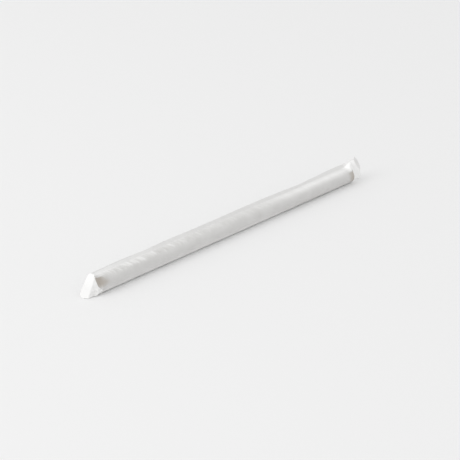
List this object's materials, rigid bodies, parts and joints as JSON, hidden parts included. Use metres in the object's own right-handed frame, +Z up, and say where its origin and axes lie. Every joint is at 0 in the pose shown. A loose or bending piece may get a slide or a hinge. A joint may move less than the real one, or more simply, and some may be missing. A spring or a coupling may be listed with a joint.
{
  "type": "wrapped drinking straw",
  "caption": "Drinking straw sealed in a thin white paper wrapper, with a pressed seam fin along one side and flat crimped ends.",
  "frame": {"origin": "middle of the pack's bounding box, on the table it lies on", "axes": "+X along the straw towards the end whose crimp runs straight on, +Y towards the side of the seam fin, +Z up"},
  "size_m": [0.2162, 0.0094, 0.012],
  "materials": {
    "wrapper": "matte"
  },
  "bodies": {
    "root": {"wrapped_straw": "wrapper"}
  },
  "joints": []
}
